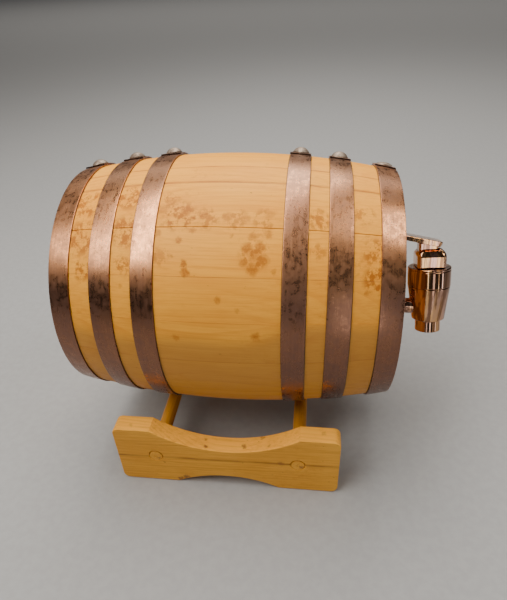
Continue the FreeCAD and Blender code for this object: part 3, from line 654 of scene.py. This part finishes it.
def stave_tone(node, x, angle):
    """How light a stave is: one of them darkens below a flame line that rises towards the tap."""
    tone = TONES.get(node, PLAIN_TONE)
    if node != FLAMED:
        return tone
    rise = FLAME_RISE * share(x / MM, FLAME_START, FLAME_END) ** 2
    line = math.radians(FLAME_TURN - rise + 0.8 * math.sin(x / (13 * MM)))
    blur = math.radians(3.5)
    return tone - 0.9 * share(angle - ROLL, line - blur, line + blur)


def stave_sweep(node, first, last):
    """Angles that a stave is swept through, and how many mm its joint edges dip at each."""
    reach = JOINT_REACH / BELLY
    spans = 16 if node == FLAMED else 10
    flat = last - first - 2 * reach
    angles = [first, first + reach * 0.3, first + reach]
    angles += [first + reach + flat * step / spans for step in range(1, spans)]
    angles += [last - reach, last - reach * 0.3, last]
    near_width, far_width = SEAM_WIDTHS.get(node, PLAIN_SEAM)
    near = CRACK_DIP if node == CRACKED[1] else min(JOINT_DIP * near_width, SOFT_DIP)
    far = CRACK_DIP if node == CRACKED[0] else min(JOINT_DIP * far_width, SOFT_DIP)
    dips = [near, near * 0.2, 0.0] + [0.0] * (spans - 1) + [0.0, far * 0.2, far]
    return list(zip(angles, dips))


def make_stave(node):
    """One stave swept round its own angles, a little proud or shy, with softened joint edges."""
    first, last = angle_span(node)
    middle, half = (first + last) / 2, (last - first) / 2
    loop = stave_loop()
    sweep = stave_sweep(node, first, last)
    near_width, far_width = SEAM_WIDTHS.get(node, PLAIN_SEAM)
    proud = random.uniform(-UNEVEN, UNEVEN) * MM
    lean = random.uniform(-UNEVEN_LEAN, UNEVEN_LEAN) * MM
    heart_side, heart_depth = random.uniform(-0.05, 0.05), 0.05 + random.uniform(0.0, 0.04)
    tilt, turn = random.uniform(-0.03, 0.03), random.uniform(-0.04, 0.04)
    start = int(node[-2:]) * 0.37
    vertices, grain, edge, tone = [], [], [], []
    for angle, dip in sweep:
        swing = angle - middle
        across = swing / half
        flat = -CROWN * MM * across ** 2 + lean * across + proud - dip * MM
        to_joint = min((half + swing) / near_width, (half - swing) / far_width)
        for x, radius, outer in loop:
            vertices.append(around(x, radius + flat * outer, angle))
            tone.append(stave_tone(node, x, angle))
            side = swing * radius - heart_side + x * turn
            grain.append((x + start, side, radius - BELLY + heart_depth + x * tilt))
            edge.append(to_joint * radius / MM)
    faces = tube_faces(len(sweep), len(loop))
    piece = new_piece(f"{node}_wood", vertices, faces, STAVE_WOOD, "barrel", "stave_wood", node)
    set_grain(piece, grain, tone, edge, GRIMY.get(node, PLAIN_GRIME))


def eased_copy(node, ease):
    """Vertices and faces of a CAD node's shape with its sharp edges eased."""
    solid = bmesh.new()
    solid.from_mesh(frame["nodes"][node].data)
    bmesh.ops.remove_doubles(solid, verts=solid.verts, dist=1e-6)
    bmesh.ops.dissolve_limit(solid, angle_limit=math.radians(1), verts=solid.verts, edges=solid.edges)
    sharp = [edge for edge in solid.edges if edge.calc_face_angle(0) > math.radians(40)]
    bmesh.ops.bevel(solid, geom=sharp, offset=ease, segments=2, profile=0.5, affect="EDGES",
                    clamp_overlap=True)
    solid.verts.index_update()
    vertices = [vertex.co.copy() for vertex in solid.verts]
    faces = [tuple(vertex.index for vertex in face.verts) for face in solid.faces]
    solid.free()
    return vertices, faces


def make_heads():
    """Head boards with eased edges, grain along each board, and the pins between them."""
    up = Vector((0, math.sin(ROLL), math.cos(ROLL)))
    side = Vector((0, math.cos(ROLL), -math.sin(ROLL)))
    for end in ("front", "rear"):
        for number in (1, 2, 3):
            node = f"{end}_head_board_{number}"
            vertices, faces = eased_copy(node, 0.3 * MM)
            board = new_piece(f"{node}_wood", vertices, faces, HEAD_WOOD, "barrel", "head_wood", node)
            start = number + (7 if end == "rear" else 0)
            grain = []
            for point in (vertex - CENTRE for vertex in vertices):
                across = point.dot(side) * 0.9 + 0.015 * number
                grain.append((point.dot(up) + start, across, point.x + 0.03))
            set_grain(board, grain, random.random())
        node = f"{end}_head_pins"
        vertices, faces = eased_copy(node, 0.2 * MM)
        pins = new_piece(f"{node}_wood", vertices, faces, BARE_WOOD, "barrel", "pin_wood", node)
        set_grain(pins, vertices)


LAP_START, LAP_END = math.radians(-8), math.radians(6)  # the stretch where the end lies on the hoop
LAP_RUN_IN, LAP_CLIMB = 0.05, 0.06  # radians before the lap, and radians in which its end rises
LAP_TURN = 0.24  # radians in which a lap drifts aside by its full skew
HOOP_GAP = 0.06 * MM  # between the staves and a hoop
ASKEW = 0.06  # radians that a rivet's head may lean


def strip_profile(middle):
    """Section of a hoop strip as (place, height over the seat), with rounded edges."""
    half, edge = STRIP / 2, 0.3 * MM
    across = [-half, -half + edge * 0.3, -half + edge]
    across += [-half + edge + (STRIP - 2 * edge) * step / 6 for step in range(1, 6)]
    across += [half - edge, half - edge * 0.3, half]
    drop = [0.28, 0.08, 0.0] + [0.0] * 5 + [0.0, 0.08, 0.28]
    top = [(middle + x, STRIP_THICK - d * MM) for x, d in zip(across, drop)]
    return top + [(middle + half, 0.0), (middle - half, 0.0)]


def band(middle, angles, lift, wander):
    """Strip along the given angles; lift raises it and wander waves it, by angle."""
    profile = strip_profile(middle)
    vertices, grain = [], []
    for angle in angles:
        rise, shift = lift(angle), wander(angle)
        for x, height in profile:
            radius = outside(x) + HOOP_GAP + height + rise
            vertices.append(around(x + shift, radius, angle))
            grain.append((x, math.sin(angle) * BELLY, math.cos(angle) * BELLY))
    return vertices, grain, len(profile)


def make_hoop(node, number):
    """One hoop: the band, and its end lapped over it and cut square just past the rivet."""
    middle = hoop_place(node)
    phase = random.uniform(0, 6)
    skew = random.uniform(-0.5, 0.5) * MM
    turns, lap_steps = 288, 22

    def ripple(angle):
        return 0.02 * MM * math.sin(7 * angle + phase)

    def wave(angle):
        return 0.12 * MM * math.sin(2 * angle + phase) + 0.06 * MM * math.sin(5 * angle + 2 * phase)

    def lap_lift(angle):
        climb = share(angle, LAP_START - LAP_RUN_IN, LAP_START - LAP_RUN_IN + LAP_CLIMB)
        return STRIP_THICK * climb - 0.03 * MM * (1 - climb)

    def lap_wave(angle):
        return wave(angle) + skew * (angle - LAP_START) / LAP_TURN

    ring_angles = [2 * math.pi * step / turns for step in range(turns)]
    ring, ring_grain, columns = band(middle, ring_angles, ripple, wave)
    lap_from = LAP_START - LAP_RUN_IN
    lap_angles = [lap_from + (LAP_END - lap_from) * step / lap_steps for step in range(lap_steps + 1)]
    lap, lap_grain, _ = band(middle, lap_angles, lap_lift, lap_wave)
    vertices, faces = join_parts((ring, tube_faces(turns, columns, ring=True)),
                                 (lap, tube_faces(len(lap_angles), columns)))
    grain = [(x + number * 0.4, y, z) for x, y, z in ring_grain + lap_grain]
    unshaded_top = [1.0] * (columns - 2) + [0.0, 0.0]  # the strip's sides and underside are near black: painted shade along the hoop's edges
    tone = unshaded_top * (len(grain) // columns)
    tone[-columns:] = [0.0] * columns  # and so is the cut end of the lap, painted shade too
    piece = new_piece(f"{node}_strip", vertices, faces, COPPER, "barrel", "hoop_copper", node)
    set_grain(piece, grain, tone)


def make_rivets():
    """Six dull domed rivet heads on the laps, each set a little askew."""
    parts = []
    dome = [(0.0, 3.85), (1.2, 3.74), (2.5, 3.38), (3.7, 2.78), (4.7, 2.0), (5.5, 1.1), (5.95, 0.35),
            (6.1, 0.02), (6.1, -0.15)]
    for node in HOOPS:
        middle = hoop_place(node)
        slope = Matrix.Rotation(math.asin(middle / BEND), 4, "Y")
        beaten = 0.5 if node == "head_hoop_front" else 1.0
        seat = around(middle, outside(middle) + HOOP_GAP + 2 * STRIP_THICK, 0.0)
        lean = Matrix.Rotation(random.uniform(-ASKEW, ASKEW), 4, "Y")
        lean = lean @ Matrix.Rotation(random.uniform(-ASKEW, ASKEW), 4, "X")
        place = Matrix.Translation(seat) @ Matrix.Rotation(-ROLL, 4, "X") @ slope @ lean
        profile = in_metres((radius, height * beaten) for radius, height in reversed(dome))
        parts.append(lathe(profile, place, 48))
    new_piece("rivet_heads", *join_parts(*parts), RIVET, "barrel", "rivet_metal", "hoop_rivets")


def make_bung():
    """Turned bung with its grain running through it."""
    axis = Vector(JOINTS["bung_pull"]["axis"])
    turn = axis.to_track_quat("Z", "Y").to_matrix().to_4x4()
    place = Matrix.Translation(CENTRE + axis * BELLY) @ turn
    profile = in_metres([(0.0, -14.0), (10.8, -14.0), (12.15, 3.4), (0.0, 3.4)])
    vertices, faces = lathe(soften(profile, 1.1 * MM, 4), place)
    piece = new_piece("bung_wood", vertices, faces, HEAD_WOOD, "bung", "bung_wood", "bung")
    local = [place.inverted() @ v for v in vertices]
    set_grain(piece, [(v.x + 5, v.y + 0.02, v.z + 0.03) for v in local], 0.3)


# --- Stand ---

BOARDS = ("stand_board_near", "stand_board_far")
DOWELS = ("stand_dowel_rear", "stand_dowel_front")
BOARD_CORNER, BOARD_ROUND = 5.5 * MM, 0.9 * MM  # radius of the corners, and of all edges
SADDLE_RADIUS, SADDLE_DEPTH = 95.5 * MM, 17.8 * MM
ARCH_RADIUS, ARCH_HEIGHT = 82.5 * MM, 10.1 * MM
SEAM_WIDTH, SEAM_SLOPE = 2.0 * MM, 0.015  # dirty line along each board, and its rise
# Tones of the stand: the tops and rounded edges are lighter than the big faces, which is painted light
# from above; the dowels have their own tone.
FACE_TONE, PAINTED_LIGHT_TONE, DOWEL_TONE = 0.4, 1.9, 0.45


def arc_points(centre, radius, start, end, steps):
    """Points on an arc between two angles in degrees."""
    turns = [math.radians(start + (end - start) * step / steps) for step in range(steps + 1)]
    return [(centre[0] + radius * math.cos(t), centre[1] + radius * math.sin(t)) for t in turns]


def board_outline(half, top):
    """Outline of a cradle board round its own middle, anticlockwise from the arch's right foot."""
    corner = BOARD_CORNER
    arch = math.degrees(math.acos(1 - ARCH_HEIGHT / ARCH_RADIUS))
    saddle = math.degrees(math.acos(1 - SADDLE_DEPTH / SADDLE_RADIUS))
    points = arc_points((half - corner, corner), corner, -90, 0, 8)
    points += arc_points((half - corner, top - corner), corner, 0, 90, 8)
    points += arc_points((0, top - SADDLE_DEPTH + SADDLE_RADIUS), SADDLE_RADIUS, -90 + saddle,
                         -90 - saddle, 40)
    points += arc_points((-half + corner, top - corner), corner, 90, 180, 8)
    points += arc_points((-half + corner, corner), corner, 180, 270, 8)
    points += arc_points((0, ARCH_HEIGHT - ARCH_RADIUS), ARCH_RADIUS, 90 + arch, 90 - arch, 32)
    return points


def make_board(node, number):
    """A cradle board with rounded edges and its two dowel holes, filled from a flat outline."""
    low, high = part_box(node)
    middle = (low + high) / 2
    half, half_thick = (high.x - low.x) / 2, (high.y - low.y) / 2
    curve = bpy.data.curves.new(f"{node}_outline", "CURVE")
    curve.dimensions = "2D"
    curve.fill_mode = "BOTH"
    curve.extrude = half_thick - BOARD_ROUND
    curve.bevel_depth = BOARD_ROUND
    curve.bevel_resolution = 3
    curve.offset = -BOARD_ROUND
    loops = [board_outline(half, high.z - low.z)]
    for dowel in DOWELS:
        start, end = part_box(dowel)
        centre = ((start.x + end.x) / 2 - middle.x, (start.z + end.z) / 2 - low.z)
        loops.append(arc_points(centre, (end.x - start.x) / 2 + 0.1 * MM, 360, 7.5, 47))
    for loop in loops:
        spline = curve.splines.new("POLY")
        spline.points.add(len(loop) - 1)
        spline.use_cyclic_u = True
        for point, (x, z) in zip(spline.points, loop):
            point.co = (x, z, 0, 1)
    blank = bpy.data.objects.new(f"{node}_blank", curve)
    flat = bpy.data.meshes.new_from_object(blank)
    bpy.data.objects.remove(blank)
    place = Matrix.Translation((middle.x, middle.y, low.z)) @ Matrix.Rotation(math.pi / 2, 4, "X")
    vertices = [place @ vertex.co for vertex in flat.vertices]
    faces = [tuple(face.vertices) for face in flat.polygons]
    bpy.data.meshes.remove(flat)
    piece = new_piece(f"{node}_wood", vertices, faces, STAND_WOOD, "stand", "stand_wood", node, 28)
    grain = [(v.x + number * 3, v.z - 0.09, v.y - middle.y + 0.05 + 0.05 * v.x) for v in vertices]
    start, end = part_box(DOWELS[0])
    seam = (start.z + end.z) / 2
    edge = [(v.z - seam - SEAM_SLOPE * (v.x - middle.x)) / SEAM_WIDTH for v in vertices]
    face = half_thick - 0.1 * MM
    # Painted light: vertices off the two big faces, on the tops and edges, get the lighter tone.
    tone = [FACE_TONE if abs(v.y - middle.y) > face else PAINTED_LIGHT_TONE for v in vertices]
    set_grain(piece, grain, tone, edge, 0.6)


def make_dowel(node, number):
    """Through dowel with softened ends and the lathe's centre mark."""
    low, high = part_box(node)
    middle = (low + high) / 2
    half, radius = (high.y - low.y) / 2 / MM, (high.x - low.x) / 2 / MM
    profile = [(0.0, -half + 0.9), (0.9, -half + 0.15), (1.3, -half + 0.05), (2.0, -half + 0.02),
               (radius - 1.0, -half), (radius - 0.3, -half), (radius, -half + 0.5)]
    profile += [(radius, -half + 0.5 + (2 * half - 1) * step / 20) for step in range(1, 21)]
    profile += [(radius - 0.3, half), (radius - 1.0, half), (2.0, half - 0.02), (1.3, half - 0.05),
                (0.9, half - 0.15), (0.0, half - 0.9)]
    place = Matrix.Translation(middle) @ Matrix.Rotation(-math.pi / 2, 4, "X")
    vertices, faces = lathe(in_metres(profile), place, 64)
    piece = new_piece(f"{node}_wood", vertices, faces, STAND_WOOD, "stand", "dowel_wood", node)
    grain = [(v.y + number * 5, v.x - middle.x + 0.012, v.z - middle.z + 0.008) for v in vertices]
    edge = []
    for v in vertices:
        out = math.hypot(v.x - middle.x, v.z - middle.z) / MM
        if abs(v.y - middle.y) / MM < half - 0.6:
            edge.append(CLEAR)
        elif out > 1.9:
            edge.append((radius - out) / 0.9)
        else:
            edge.append(0.35 if out > 0.5 else 3.0)
    set_grain(piece, grain, DOWEL_TONE, edge)


# --- Tap ---

COLLAR_TOP = 31.7  # mm over the joint's place
PADDLE_OUT, PADDLE_BACK = 8.0, 24.0  # mm out past the tap's axis, and back towards the barrel
PADDLE_LOW, PADDLE_HIGH, PADDLE_THICK = 46.7, 54.7, 4.0  # mm: heights of its underside's two ends


def make_tap_casting():
    """Cone, outlet with its open bore, and the flanged shank that goes through the head."""
    bore, outlet, foot, cone_top, stem = 5.0, 9.45, -18.9, 16.95, 11.5
    cone = [(0.0, -6.5), (bore, -6.5), (bore, foot), (outlet, foot), (outlet, -10.2), (10.6, -9.9),
            (12.25, -9.0), (15.6, 16.4), (15.4, cone_top), (stem, cone_top), (stem, 27.0), (0.0, 27.0)]
    tube, flange, end = 6.0, 36.9, 64.0
    shank = [(0.0, 9.0), (tube, 9.0), (tube, 18.5), (7.4, 19.0), (7.4, 21.5), (tube, 22.0),
             (tube, flange), (11.0, flange), (11.0, flange + 3), (tube, flange + 3), (tube, end),
             (3.5, end), (3.5, 50.0), (0.0, 50.0)]
    along = SHANK_FRAME @ Matrix.Rotation(-math.pi / 2, 4, "Y")
    parts = join_parts(lathe(soften(in_metres(cone), 0.4 * MM), TAP_FRAME, 128),
                       lathe(soften(in_metres(shank), 0.5 * MM), along, 64))
    new_piece("tap_casting", *parts, ROSE, "barrel", "tap_metal", "tap_body")


def make_tap_collar():
    """The wide ring above the cone, with a lipped top."""
    stem, wide, bottom = 11.6, 15.9, 17.05
    collar = [(stem, bottom), (15.5, bottom), (15.85, 17.5), (wide, 29.4), (15.55, 29.8),
              (15.55, 30.1), (wide, 30.5), (wide, 31.2), (15.3, COLLAR_TOP), (5.1, COLLAR_TOP),
              (5.1, 27.1), (stem, 27.1), (stem, bottom)]
    parts = lathe(soften(in_metres(collar), 0.25 * MM), TAP_FRAME, 128)
    new_piece("tap_collar_ring", *parts, ROSE, "barrel", "tap_metal", "tap_collar")


def make_tap_lever():
    """Round-shouldered block, neck and thick thumb paddle rising towards the barrel."""
    foot = COLLAR_TOP + 0.3
    block = [(foot, 9.6, 9.6, 2.2), (foot + 0.3, 10.3, 10.3, 2.7), (foot + 0.9, 10.5, 10.5, 2.9),
             (40.2, 10.5, 10.5, 2.9), (41.6, 10.4, 10.1, 2.9), (43.0, 9.9, 9.2, 3.0),
             (44.3, 9.1, 7.8, 3.1), (45.4, 8.0, 6.2, 3.0), (46.0, 6.6, 4.6, 2.6), (46.2, 5.0, 3.2, 1.6)]
    neck = [(height, 6.9, 5.0, 1.6) for height in (42.6, 48.0, 49.8)]
    neck_place = TAP_FRAME @ Matrix.Translation(Vector((-1.9, 0, 0)) * MM)
    run, rise = PADDLE_OUT + PADDLE_BACK, PADDLE_HIGH - PADDLE_LOW
    half, wide = math.hypot(run, rise) / 2, 7.5
    paddle = [(-1.95, half - 1.5, wide - 0.8, 2.4), (-1.6, half - 0.9, wide - 0.2, 2.8),
              (1.4, half - 0.3, wide, 3.0), (1.75, half - 0.4, wide - 0.3, 2.8),
              (1.95, half - 0.8, wide - 0.7, 2.6)]
    height = (PADDLE_LOW + PADDLE_HIGH + PADDLE_THICK) / 2
    middle = Vector(((PADDLE_OUT - PADDLE_BACK) / 2, 0, height)) * MM
    slope = Matrix.Rotation(math.atan2(rise, run), 4, "Y")
    paddle_place = TAP_FRAME @ Matrix.Translation(middle) @ slope
    parts = join_parts(loft(in_metres(block), TAP_FRAME), loft(in_metres(neck), neck_place),
                       loft(in_metres(paddle), paddle_place))
    new_piece("tap_lever_arm", *parts, ROSE, "tap_valve", "tap_metal", "tap_lever")


def dress_small_nodes():
    """Materials for the CAD pieces that keep their own shape."""
    finishes = {"tap_plug": BRASS, "tap_lever_screw": STEEL, "tap_seal_rings": RUBBER,
                "tap_outer_washer": RUBBER, "tap_inner_washer": RUBBER, "tap_shank_nut": BRASS}
    for node, material in finishes.items():
        slots = frame["nodes"][node].data.materials
        slots.clear()
        slots.append(material)


# --- Studio ---

WARM, WHITE = (1.0, 0.94, 0.85), (1.0, 1.0, 1.0)
FLOOR_HALF, FLOOR_DROP = 15.0, 0.1 * MM
WORLD_COLOUR, WORLD_STRENGTH = (0.92, 0.92, 0.94, 1), 0.07
# Soft boxes: place from the barrel's centre, watts, width and height.
SOFT_BOXES = {"overhead": ((-0.22, 0.09, 1.0), 26.5, 2.25, 0.56),
              "left_front": ((-0.95, -0.52, 0.84), 3.6, 0.8, 0.5),
              "right_front": ((0.66, -0.04, 1.0), 3.6, 0.6, 0.4)}
# Upright strips that the tap mirrors: degrees to the right of its front, and width.
TAP_STRIPS = ((-14, 0.04), (15, 0.10), (40, 0.03), (62, 0.05))
TAP_STRIP_AWAY, TAP_STRIP_RISE, TAP_STRIP_TALL, TAP_STRIP_POWER = 0.6, 0.04, 0.36, 2.9


def add_light(name, place, aim, power, wide, tall, colour):
    """A soft rectangular light aimed at a point."""
    data = bpy.data.lights.new(name, "AREA")
    data.shape = "RECTANGLE"
    data.size = wide
    data.size_y = tall
    data.energy = power
    data.color = colour
    lamp = scene_object(name, data)
    lamp.location = place
    lamp.rotation_euler = (aim - place).to_track_quat("-Z", "Y").to_euler()


def build_floor():
    """Pale floor, a hair below the part so that the two surfaces don't coincide."""
    sides = ((-1, -1), (1, -1), (1, 1), (-1, 1))
    corners = [(x * FLOOR_HALF, y * FLOOR_HALF, -FLOOR_DROP) for x, y in sides]
    mesh = bpy.data.meshes.new("floor")
    mesh.from_pydata(corners, [], [(0, 1, 2, 3)])
    mesh.materials.append(floor_material())
    scene_object("floor", mesh)


def light_studio():
    """Dim surroundings, soft boxes, a light on the floor's far end and strips for the tap."""
    world = bpy.data.worlds.new("studio")
    world.use_nodes = True
    background = world.node_tree.nodes["Background"]
    background.inputs[0].default_value = WORLD_COLOUR
    background.inputs[1].default_value = WORLD_STRENGTH
    bpy.context.scene.world = world
    for name, (offset, power, wide, tall) in SOFT_BOXES.items():
        add_light(name, CENTRE + Vector(offset), CENTRE, power, wide, tall, WARM)
    far_place, far_aim = CENTRE + Vector((0.0, 3.6, 2.4)), CENTRE + Vector((0.0, 3.9, 0.0))
    add_light("far_floor", far_place, far_aim, 70.0, 6.0, 2.5, WARM)
    for turn, wide in TAP_STRIPS:
        bearing = math.radians(turn)
        away = Vector((math.sin(bearing), -math.cos(bearing), 0)) * TAP_STRIP_AWAY
        place = TAP_PLACE + away + Vector((0, 0, TAP_STRIP_RISE))
        power = TAP_STRIP_POWER * wide
        add_light(f"strip_{turn}", place, TAP_PLACE, power, wide, TAP_STRIP_TALL, WHITE)


CAMERA_YAW, CAMERA_PITCH, CAMERA_ROLL = math.radians(-7.94), math.radians(35.18), math.radians(-2.757)
CAMERA_OFFSET = (0.0571, -0.3314, 0.2138)  # metres from the barrel's centre
CAMERA_LENS, CAMERA_SENSOR = 29.8, 36  # mm


def add_camera():
    """Camera as the object was seen: close, above and a little to the right of its middle."""
    heading = Vector((math.sin(CAMERA_YAW), math.cos(CAMERA_YAW), 0))
    ahead = heading * math.cos(CAMERA_PITCH) - Vector((0, 0, math.sin(CAMERA_PITCH)))
    level = Vector((heading.y, -heading.x, 0))
    above = level.cross(ahead)
    right = level * math.cos(CAMERA_ROLL) + above * math.sin(CAMERA_ROLL)
    up = above * math.cos(CAMERA_ROLL) - level * math.sin(CAMERA_ROLL)
    data = bpy.data.cameras.new("camera")
    data.lens = CAMERA_LENS
    data.sensor_width = CAMERA_SENSOR
    data.clip_start = 0.01
    camera = scene_object("camera", data)
    turn = Matrix((right, up, -ahead)).transposed().to_4x4()
    camera.matrix_world = Matrix.Translation(CENTRE + Vector(CAMERA_OFFSET)) @ turn
    bpy.context.scene.camera = camera


for stave in STAVES:
    make_stave(stave)
make_heads()
for index, hoop in enumerate(HOOPS):
    make_hoop(hoop, index)
make_rivets()
make_bung()
for index, board in enumerate(BOARDS):
    make_board(board, index)
for index, dowel in enumerate(DOWELS):
    make_dowel(dowel, index)
make_tap_casting()
make_tap_collar()
make_tap_lever()
dress_small_nodes()
build_floor()
light_studio()
add_camera()
